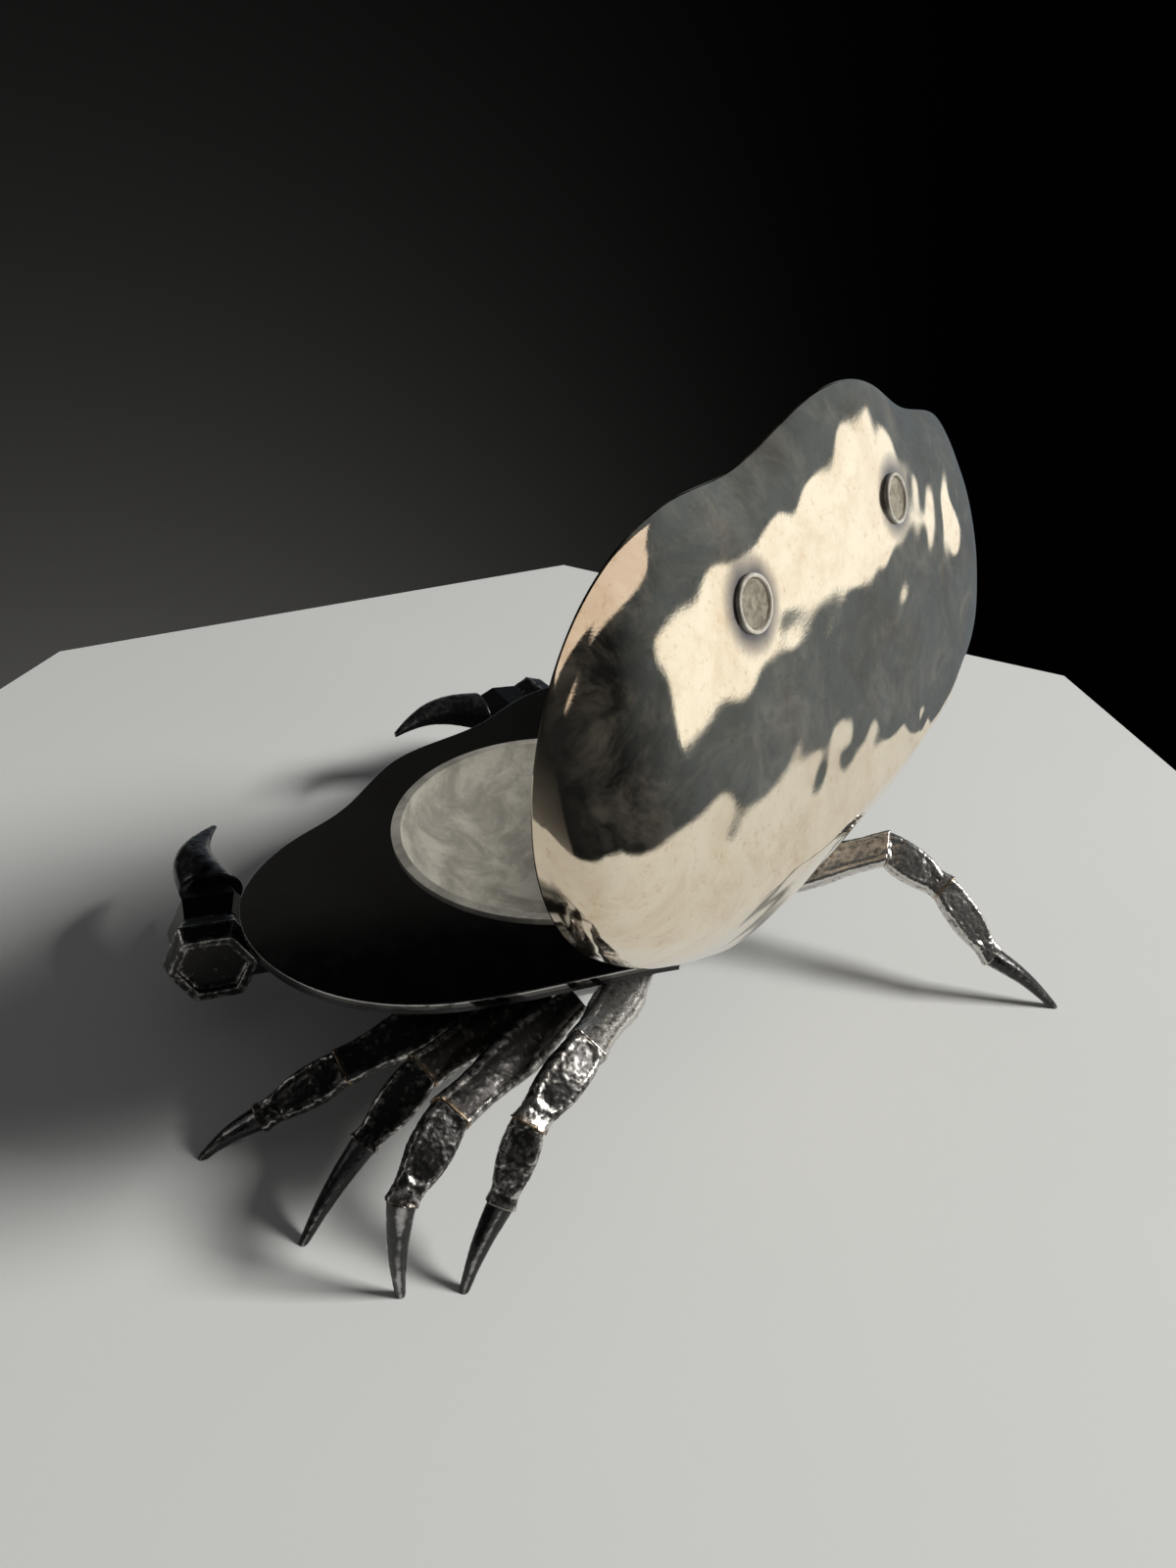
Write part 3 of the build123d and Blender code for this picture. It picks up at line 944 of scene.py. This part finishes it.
class Limbs:
    """Granular castings of the legs and claws."""

    UP = np.array([0.0, 0.0, 1.0])
    CLAW_ACROSS = np.array([[0.0, 1.0, 0.0]])
    CLAW_BACK = np.array([[0.0, 0.0, 1.0]])
    HIND = 4

    def __init__(self, materials: Materials, slots: Dict[str, str]) -> None:
        """Keeps what all limbs share.

        Args:
            materials: Material of each slot.
            slots: Slot of each CAD node.
        """
        self.materials = materials
        self.slots = slots
        self.sizes = LimbSizes()
        self.grain = GrainLevels()
        self.worn = WearAndLightLevels()

    def squircle(self, power: float) -> Tuple[Array, Array]:
        """Unit superellipse |x|^n + |y|^n = 1 and its outward directions.

        Args:
            power: The exponent n.

        Returns:
            Points and the gradient of the formula there.
        """
        start = 0.03
        turn = np.linspace(0, 2 * np.pi, self.sizes.around, endpoint=False) + start
        x, y = np.cos(turn), np.sin(turn)
        reach = (np.abs(x) ** power + np.abs(y) ** power) ** (-1 / power)
        points = np.stack([x, y], -1) * reach[:, None]
        return points, np.sign(points) * np.abs(points) ** (power - 1)

    def hexagon(self) -> Tuple[Array, Array, Array]:
        """Unit hexagon of the claws with its outward directions and its closeness to the corners.

        Returns:
            Points, outward directions and a value that is one at the corners.
        """
        c = self.sizes.claw_corner
        corners = np.array([(1, 0), (c, 1), (-c, 1), (-1, 0), (-c, -1), (c, -1), (1, 0)], float)
        place = np.linspace(0, 6, self.sizes.around, endpoint=False)
        k = place.astype(int)
        t = (place - k)[:, None]
        points = corners[k] * (1 - t) + corners[k + 1] * t
        edge = np.exp(-(np.minimum(t[:, 0], 1 - t[:, 0]) / 0.12) ** 2)
        return points * (1 - 0.02 * edge[:, None]), Surface.unit(points), edge

    def cast(self, node: str, rings: Rings, mirrored: bool, seed: int) -> None:
        """Casting from its rings, roughened along its outward directions by lattice noise of three cells.

        Args:
            node: CAD node that it replaces.
            rings: Its cross-sections.
            mirrored: Whether the side is turned over.
            seed: Seed of the grain.
        """
        grid = rings.grid()
        layers = [Surface.grain(grid, cell, seed + k) for k, cell in enumerate(self.grain.cells)]
        rough = rings.coarse * sum(height * layer for height, layer in zip(self.grain.heights, layers))
        rubbed = rings.coarse * sum(share * layer for share, layer in zip(self.grain.wear, layers))
        points, faces = Surface.tube(grid + rings.outward() * (rough - rings.sunk)[..., None])
        if mirrored:
            points = points * [-1, 1, 1]
            faces = [face[::-1] for face in faces]
        wear = np.clip(rings.wear + rubbed, 0, 1)
        values = {"wear": np.r_[wear.ravel(), self.worn.cap, self.worn.cap],
                  "seam": np.r_[rings.seam.ravel(), 0.0, 0.0]}
        slot = self.slots[node]
        piece = Surface.mesh(f"{node}_cast", points * MM, faces, self.materials[slot], values)
        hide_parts(node)
        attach(piece, Body.BASE.value)

    def planes(self, places: Array) -> Tuple[Array, Array]:
        """Mitre normals at the joints and the directions that the broad upper face looks there.

        Args:
            places: Joints.

        Returns:
            Normals and facing directions.
        """
        along = Surface.unit(np.diff(places, axis=0))
        normals = Surface.unit(np.vstack([along[:1], along[:-1] + along[1:], along[-1:]]))
        side = Surface.unit(np.cross(self.UP, normals))
        roll = math.radians(self.sizes.roll)
        backs = np.cross(normals, side) * math.cos(roll) + side * math.sin(roll)
        return normals, Surface.unit(backs)

    @staticmethod
    def near(share: Array, reach: float) -> Array:
        """Square fade from one at a share of zero to zero at the reach, as a column."""
        return np.clip(1 - share / reach, 0, 1)[:, None] ** 2

    def segment(self, ends: Array, normals: Array, backs: Array, widths: Sequence[float],
                swells: Sequence[Pair], begin: float, solder: float) -> Rings:
        """Leg piece: a superellipse whose width follows a spline, with a sunken panel.

        Args:
            ends: Its two joints.
            normals: Mitre normals of both.
            backs: Facing directions of both.
            widths: Width at both.
            swells: Share of the length and share of the width there.
            begin: Share of the length where the piece leaves the hull.
            solder: Strength of the solder line at its far end.

        Returns:
            The piece's rings.
        """
        s = self.sizes
        run = ends[1] - ends[0]
        length = np.linalg.norm(run)
        along = run / length
        share = np.r_[begin, begin, np.linspace(begin, 1, s.along), 1.0, 1.0]
        shrink = np.r_[s.leg_caps, np.ones(s.along), s.leg_caps[::-1]]
        curve = Surface.spline(np.array(swells), 200)
        swell = np.interp(share, curve[:, 0], curve[:, 1])
        width = (widths[0] + (widths[1] - widths[0]) * share) * swell * shrink
        back = Surface.unit(backs[0] + backs[1])
        back = Surface.unit(back - along * (back @ along))
        first, last = self.near(share, s.leg_mitre), self.near(1 - share, s.leg_mitre)
        normal = Surface.unit(along * (1 - first - last) + normals[0] * first + normals[1] * last)
        facing = back * (1 - first - last) + backs[0] * first + backs[1] * last
        across = Surface.unit(np.cross(facing, normal))
        half = np.stack([width, width * s.flatness], -1) / 2
        centre = ends[0] + run * share[:, None]
        rings = Rings.plain(centre, across, Surface.unit(np.cross(normal, across)), half,
                            self.squircle(s.leg_power), self.worn.leg, self.grain.leg)
        self.detail(rings, share, length, swells, solder)
        return rings

    def detail(self, rings: Rings, share: Array, length: float, swells: Sequence[Pair],
               solder: float) -> None:
        """Wear on the ridges, panels on both broad faces and solder at the far end of a leg piece.

        The panel follows the piece's edges: a point is inside where hypot(max(|u| - a, 0), v r / w) < r,
        with u along the piece, v across it as a share of its half width, and w the panel's share.

        Args:
            rings: Rings to fill.
            share: Share of the length of each ring.
            length: Length of the piece.
            swells: Its swelling.
            solder: Strength of the solder line.
        """
        s, worn = self.sizes, self.worn
        fullest = max(swells, key=lambda pair: pair[1])[0]
        radius = rings.half[:, 0].max() * s.panel_width
        reach = max(length * min(fullest, 1 - fullest) * s.panel_reach - radius, 0.0)
        u = np.abs((share - (fullest + 0.5) / 2) * length)[:, None]
        v = rings.outline[None, :, 0] * radius / s.panel_width
        far = np.hypot(np.maximum(u - reach, 0), v) - radius
        broad = np.clip((np.abs(rings.outline[:, 1]) - 0.7) / 0.2, 0, 1)[None]
        inside = np.clip(0.5 - far / s.panel_edge, 0, 1) * broad
        ridge = np.clip((np.abs(rings.outline).prod(-1) - 0.5) / 0.25, 0, 1)[None]
        rim = np.exp(-(far / s.rim) ** 2) * broad
        left = (1 - share) * length
        ends = np.exp(-(left / s.end) ** 2)[:, None]
        rings.wear += worn.ridge * ridge + worn.rim * rim + worn.end * ends - worn.panel * inside
        rings.coarse *= 1 - self.grain.panel * inside
        rings.seam += solder * np.exp(-(left / s.seam) ** 2)[:, None]
        rings.sunk += inside * s.panel

    def tip(self, ends: Array, normal: Array, back: Array, width: float) -> Rings:
        """Last piece of a leg: a spike of a superellipse, bowed by a sine, with a blunt foot on the table.

        Args:
            ends: Ankle and foot.
            normal: Mitre normal at the ankle.
            back: Facing direction there.
            width: Width at the ankle.

        Returns:
            The piece's rings.
        """
        s = self.sizes
        run = ends[1] - ends[0]
        along = run / np.linalg.norm(run)
        share = np.r_[0.0, 0.0, np.linspace(0, 1, s.along), 1.0]
        shrink = np.r_[s.tip_caps, np.ones(s.along), s.tip_caps[0]]
        bow = Surface.unit(self.UP - along * along[2]) * s.bow
        centre = ends[0] + run * share[:, None] + bow * np.sin(np.pi * share)[:, None]
        first, last = self.near(share, s.tip_mitre), self.near(1 - share, s.foot_mitre)
        way = Surface.unit(along * (1 - first - last) + normal * first - self.UP * last)
        across = Surface.unit(np.cross(back, way))
        half = (width / 2 + (s.foot - width / 2) * share) * shrink
        rings = Rings.plain(centre, across, Surface.unit(np.cross(way, across)),
                            np.stack([half, half * s.tip_flatness], -1), self.squircle(s.tip_power),
                            self.worn.tip, self.grain.tip)
        corner = np.clip((np.abs(rings.outline).max(-1) - 0.86) / 0.14, 0, 1)
        rings.wear += corner * self.worn.tip_corner
        return rings

    def leg(self, side: str, number: int, joints: Sequence[Point], mirrored: bool) -> None:
        """All pieces of one leg.

        Args:
            side: Side of the crab.
            number: Place of the leg from the front.
            joints: Its joints.
            mirrored: Whether the joints are given for the other side.
        """
        s, worn = self.sizes, self.worn
        scale = s.hind if number == self.HIND else 1.0
        table = np.array(joints)
        places = np.c_[table[:, 0], HINGE_Y - table[:, 1], table[:, 2]]
        normals, backs = self.planes(places)
        count = len(places) - 2
        titles = ("thigh", "shin") if count == 2 else ("thigh", "knee", "shin")
        narrowing = (s.ankle - s.hip) / count
        for k, title in enumerate(titles):
            widths = [(s.hip + narrowing * end) * scale for end in (k, k + 1)]
            swells = s.shin_swell if k else s.thigh_swell
            solder = worn.brown if k == count - 2 else worn.faint
            rings = self.segment(places[k:k + 2], normals[k:k + 2], backs[k:k + 2], widths, swells,
                                 0.0 if k else s.hull, solder)
            # Painted light: the hind legs are made brighter, as if lit, on top of their wear.
            if number == self.HIND:
                rings.wear += worn.near_hind_light if k and not mirrored else worn.hind
            self.cast(f"{side}_leg_{number}_{title}", rings, mirrored, number * 11 + k * 3)
        rings = self.tip(places[-2:], normals[-2], backs[-2], s.ankle * scale * s.tip_width)
        self.cast(f"{side}_leg_{number}_tip", rings, mirrored, number * 17)

    def filled(self, stations: Sequence[Point]) -> Tuple[Array, Array]:
        """Stations of a claw piece, filled in so that no step is longer than the claw's.

        Args:
            stations: Distance along the claw, half width and half height.

        Returns:
            Distances and half sizes.
        """
        rows = [np.array(stations[:1])]
        for a, b in zip(np.array(stations), np.array(stations[1:])):
            count = max(int(np.ceil(np.abs(b - a).max() / self.sizes.claw_step)), 1)
            rows.append(a + (b - a) * np.arange(1, count + 1)[:, None] / count)
        table = np.vstack(rows)
        return table[:, 0], np.maximum(table[:, 1:], self.sizes.thinnest)

    def block(self, stations: Sequence[Point]) -> Rings:
        """Six-sided piece of a claw through given stations, worn at its edges and bends.

        Args:
            stations: Distance along the claw, half width and half height.

        Returns:
            Its rings.
        """
        s, worn = self.sizes, self.worn
        along, half = self.filled(stations)
        outline, normal, edge = self.hexagon()
        zero = np.zeros_like(along)
        rings = Rings.plain(np.stack([along, zero, zero], -1), self.CLAW_ACROSS, self.CLAW_BACK, half,
                            (outline, normal), worn.wrist, self.grain.wrist)
        bend = np.zeros(len(along))
        for place, wide, _ in stations:
            near = np.hypot(along - place, half[:, 0] - max(wide, s.thinnest))
            bend = np.maximum(bend, np.exp(-(near / s.claw_bend) ** 2) * (wide > s.thinnest))
        outer = np.clip((half[:, 0] / half[:, 0].max() - 0.8) / 0.05, 0, 1)[:, None]
        rings.wear += np.maximum(worn.wrist_edge * edge[None] * outer, worn.wrist_bend * bend[:, None])
        return rings

    def horn(self, start: float, bend: float) -> Rings:
        """Curved pointed finger, raised by rise (0.9 + 0.25 sin(pi t)) and bent by bend sin(pi t).

        Args:
            start: Where it starts along the claw.
            bend: Sideways bend of its axis.

        Returns:
            Its rings.
        """
        s = self.sizes
        share = np.r_[0.0, np.linspace(0, 1, s.along), 1.0]
        arc = np.sin(np.pi * share)
        centre = np.stack([start + s.finger * share, bend * arc, s.finger_rise * (0.9 + 0.25 * arc)], -1)
        shrink = np.r_[s.finger_caps[0], np.ones(s.along), s.finger_caps[1]]
        size = s.finger_radius * (1 - 0.88 * share ** 1.1) * shrink
        half = np.stack([size, size * s.finger_flatness], -1)
        rings = Rings.plain(centre, self.CLAW_ACROSS, self.CLAW_BACK, half, self.squircle(2.0),
                            self.worn.finger, self.grain.finger)
        rings.wear += self.worn.finger_top * np.clip(rings.outline[None, :, 1], 0, 1)
        return rings

    def stand(self, rings: Rings, place: Point, yaw: float) -> Rings:
        """Moves rings from the claw's own axes to the part's frame.

        Args:
            rings: Rings along X.
            place: Middle of the wrist.
            yaw: Turn about Z in degrees.

        Returns:
            The moved rings.
        """
        cos, sin = math.cos(math.radians(yaw)), math.sin(math.radians(yaw))
        turned = np.array([(cos, sin, 0), (-sin, cos, 0), (0, 0, 1)])
        rings.centre = rings.centre @ turned + [place[0], HINGE_Y - place[1], place[2]]
        rings.across = rings.across @ turned
        rings.back = rings.back @ turned
        return rings

    def claw(self, side: str, turn: int, place: Point, yaw: float) -> None:
        """Wrist and finger of one claw; the arm and the palm keep their CAD shape.

        Args:
            side: Side of the crab.
            turn: Side of the claw on which its arm is.
            place: Middle of the wrist.
            yaw: Turn about Z in degrees.
        """
        s = self.sizes
        wide, high, front = s.claw_width / 2, s.claw_height / 2, s.wrist / 2
        face = (wide * s.wrist_front, high * s.wrist_front)
        inner = (face[0] - s.border, face[1] - s.border)
        wrist = self.block(((s.recess - front, 0.0, 0.0), (s.recess - front, *inner), (-front, *inner),
                            (-front, *face), (-front * s.wrist_widest, wide, high),
                            (front, wide * s.wrist_rear, high * s.wrist_rear), (front, 0.0, 0.0)))
        self.cast(f"{side}_claw_wrist", self.stand(wrist, place, yaw), False, 41)
        finger = self.horn(front + s.solder * 2 + s.palm, -turn * s.finger_bow)
        self.cast(f"{side}_claw_finger", self.stand(finger, place, yaw), False, 47)

    def build(self) -> None:
        """Builds all limbs; the right hind leg is swept back, the other right legs mirror the left ones."""
        for number, joints in enumerate(self.sizes.legs, 1):
            self.leg("left", number, joints, False)
            self.leg("right", number, self.sizes.swept if number == self.HIND else joints, True)
        for claw in self.sizes.claws:
            self.claw(*claw)


class Figurine:
    """Gives every CAD node its finish and builds the finer pieces."""

    FINISHES = (
        HammeredFinish(Slot.HAMMERED, (0.96, 0.86, 0.69), (0.70, 0.53, 0.36), 0.02, 0.03, 55.0,
                       halo=(0.13, 0.125, 0.14)),
        # The polished finish's darkest colour is painted shade under the deck's top.
        PolishedFinish(Slot.POLISHED, (0.80, 0.79, 0.77), (0.66, 0.64, 0.61), 0.07, 0.06, 40.0,
                       under_deck_shade=(0.10, 0.095, 0.09)),
        MatteFinish(Slot.MATTE, (0.78, 0.75, 0.67), (0.36, 0.34, 0.30), 0.5, 0.15, 90.0, metal=0.2),
        MatteFinish(Slot.WORN, (0.82, 0.78, 0.69), (0.48, 0.44, 0.37), 0.28, 0.15, 300.0, metal=0.5),
        MatteFinish(Slot.TEXTURED, (0.62, 0.56, 0.44), (0.25, 0.22, 0.17), 0.4, 0.2, 500.0, metal=0.7),
        CastFinish(Slot.OXIDISED, (0.66, 0.64, 0.60), (0.06, 0.057, 0.055), 0.26, 0.14, 700.0,
                   solder=(0.40, 0.29, 0.17)),
        CastFinish(Slot.DARK, (0.46, 0.45, 0.44), (0.05, 0.049, 0.05), 0.22, 0.12, 260.0,
                   solder=(0.33, 0.22, 0.12)),
    )

    def __init__(self) -> None:
        """Makes the materials of all slots and looks up the slot of each node."""
        self.materials = {finish.slot.value: finish.material() for finish in self.FINISHES}
        self.slots = {part["node"]: part["material_slot"] for part in frame["record"]["subparts"]}

    def dress(self) -> None:
        """Gives each CAD node the material of its slot."""
        for name, node in frame["nodes"].items():
            node.data.materials.clear()
            node.data.materials.append(self.materials[self.slots[name]])

    def build(self) -> None:
        """Builds all pieces of the figurine."""
        self.dress()
        Carapace(LidSizes(), self.materials).build()
        Limbs(self.materials, self.slots).build()


@dataclass(frozen=True)
class LampSizes:
    """Place, size, power and colour of one area lamp, seen from the lid.

    Attributes:
        mirrored: Whether mirrors show it.
        lighting: Whether it lights matte surfaces.
        alone: End of the names of the pieces that it lights, or nothing for all.
        through: Whether it ignores the shadows of other pieces.
    """

    name: str
    azimuth: float
    elevation: float
    distance: float
    width: float
    height: float
    power: float
    colour: Colour
    mirrored: bool = True
    lighting: bool = True
    alone: str = ""
    through: bool = False


class Studio:
    """Table, lamps, dark room and camera."""

    CENTRE = Vector((0.01, 0.05, 0.10))
    WARM = (1.0, 0.98, 0.96)
    LAMPS = (
        LampSizes("window", 144.5, -0.5, 1.3, 1.02, 0.32, 0.96, (1.0, 0.97, 0.89)),
        LampSizes("key", 118.0, 33.0, 3.0, 0.8, 0.7, 150.0, WARM, mirrored=False),
        LampSizes("sheen", 75.0, 44.0, 1.5, 3.0, 0.8, 5.4, (1.0, 0.86, 0.76), lighting=False,
                  alone="hammered_lid"),
        LampSizes("glint", 128.0, 36.0, 3.0, 1.3, 1.0, 64.0, WARM, lighting=False, alone="_cast"),
        LampSizes("fill", 310.0, 30.0, 1.5, 1.0, 0.7, 1.2, WARM, lighting=False, alone="_cast"),
        LampSizes("bounce", 118.0, 24.0, 1.5, 0.5, 0.5, 15.0, (1.0, 0.98, 0.93), mirrored=False, alone="bowl",
                  through=True),
    )
    TABLE = ((0.21, -0.09), (0.12, -0.218), (-0.028, -0.266), (-0.205, -0.163), (-0.221, 0.046),
             (-0.172, 0.096), (-0.225, 0.165), (-0.19, 0.23), (-0.10, 0.315), (0.0, 0.365), (0.11, 0.345),
             (0.18, 0.255), (0.21, 0.12))
    AMBIENT = (0.10, 0.10, 0.102)
    DARKEST = 0.0003
    GLOW = 0.0084
    GLOW_FALL = 4.78
    CEILING = 0.012
    LEFTWARD = (0.57, -0.82, 0.0)
    HAZE = ((0.008, 0.009, 0.010), (0.125, 0.148, 0.172))
    EYE = Vector((0.1857, 0.12225, 0.1902))
    HEADING = 34.88
    PITCH = 32.0
    FOCAL = 1202.0
    PICTURE_HEIGHT = 1600.0
    SENSOR = 36.0
    NEAREST = 0.01

    def table(self) -> None:
        """Flat pale table top; its edges behind the lid lie where the lid mirrors them."""
        corners = np.array([(x, y, 0.0) for x, y in self.TABLE])
        top = Surface.mesh("table", corners, [tuple(range(len(corners)))], TableFinish().material())

    def lamp(self, sizes: LampSizes) -> None:
        """Adds one area lamp aimed at the lid.

        Args:
            sizes: Place, size and power.
        """
        data = bpy.data.lights.new(sizes.name, "AREA")
        data.shape = "RECTANGLE"
        data.size = sizes.width
        data.size_y = sizes.height
        data.energy = sizes.power
        data.color = sizes.colour
        turn = math.radians(sizes.azimuth)
        rise = math.radians(sizes.elevation)
        away = Vector((math.cos(turn) * math.cos(rise), math.sin(turn) * math.cos(rise), math.sin(rise)))
        lamp = bpy.data.objects.new(sizes.name, data)
        lamp.location = self.CENTRE + away * sizes.distance
        lamp.rotation_euler = away.to_track_quat("Z", "Y").to_euler()
        lamp.visible_glossy = sizes.mirrored
        lamp.visible_diffuse = sizes.lighting
        if sizes.alone:
            lit = bpy.data.collections.new(f"{sizes.name}_pieces")
            for piece in bpy.context.scene.objects:
                if piece.name.endswith(sizes.alone):
                    lit.objects.link(piece)
            lamp.light_linking.receiver_collection = lit
            if sizes.through:
                lamp.light_linking.blocker_collection = lit
        bpy.context.scene.collection.objects.link(lamp)

    def room(self) -> None:
        """Dark room to the camera and to mirrors, soft even light to everything else.

        To the left it glows by GLOW exp(-GLOW_FALL height), with a paler band of ceiling. Mirrors also see a
        haze behind the crab and low on its right.
        """
        world = bpy.data.worlds.new("room")
        bpy.context.scene.world = world
        world.use_nodes = True
        graph = Graph(world.node_tree)
        path = graph.node("ShaderNodeLightPath")
        glossy = Val(graph, path.outputs["Is Glossy Ray"])
        seen = (Val(graph, path.outputs["Is Camera Ray"]) + glossy).clamp()
        way = graph.place("Generated")
        across, rear, height = graph.axes(way)
        left = graph.value("ShaderNodeVectorMath", {"operation": "DOT_PRODUCT"}, {0: way, 1: self.LEFTWARD},
                           "Value")
        fall = (height * -self.GLOW_FALL).exp() * self.GLOW
        ceiling = height.step(0.2, 0.4) * (1.0 - height.step(0.6, 0.63)) * self.CEILING
        glow = left.step(-0.3, 0.5) * (fall + ceiling) + self.DARKEST
        tint = {0: glow, 1: glow * 0.98, 2: glow * 0.94}
        shade = graph.node("ShaderNodeCombineColor", None, tint).outputs[0]
        right = across * -1.0
        haze = graph.mix(right.step(0.1, 1.0), *self.HAZE)
        beside = right.step(0.3, 0.6) * (1.0 - height.step(0.15, 0.4))
        mirrored = (rear.step(0.0, 0.1) + beside).clamp() * glossy
        light = graph.mix(seen, self.AMBIENT, graph.mix(mirrored, shade, haze))
        back = graph.node("ShaderNodeBackground", None, {"Color": light, "Strength": 1.0})
        graph.node("ShaderNodeOutputWorld", None, {"Surface": back.outputs[0]})

    def camera(self) -> None:
        """Camera at the photograph's place, for an upright picture."""
        turn = math.radians(self.HEADING)
        dip = math.radians(self.PITCH)
        right = Vector((-math.sin(turn), math.cos(turn), 0.0))
        level = Vector((-math.cos(turn), -math.sin(turn), 0.0))
        ahead = level * math.cos(dip) - Vector((0.0, 0.0, math.sin(dip)))
        above = right.cross(ahead)
        data = bpy.data.cameras.new("photo_camera")
        data.sensor_width = self.SENSOR
        data.lens = self.FOCAL * data.sensor_width / self.PICTURE_HEIGHT
        data.clip_start = self.NEAREST
        eye = bpy.data.objects.new("photo_camera", data)
        turned = Matrix((right, above, -ahead)).transposed()
        eye.matrix_world = Matrix.Translation(self.EYE) @ turned.to_4x4()
        bpy.context.scene.collection.objects.link(eye)
        bpy.context.scene.camera = eye

    def build(self) -> None:
        """Builds the whole studio."""
        self.table()
        for sizes in self.LAMPS:
            self.lamp(sizes)
        self.room()
        self.camera()
        bpy.context.scene.view_settings.view_transform = "Standard"


def main() -> None:
    """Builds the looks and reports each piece."""
    logging.basicConfig(level=logging.INFO)
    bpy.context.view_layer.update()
    Figurine().build()
    Studio().build()
    for piece in bpy.context.scene.objects:
        if piece.type == "MESH":
            log.info("%s has %d points", piece.name, len(piece.data.vertices))


if __name__ == "__main__":
    main()
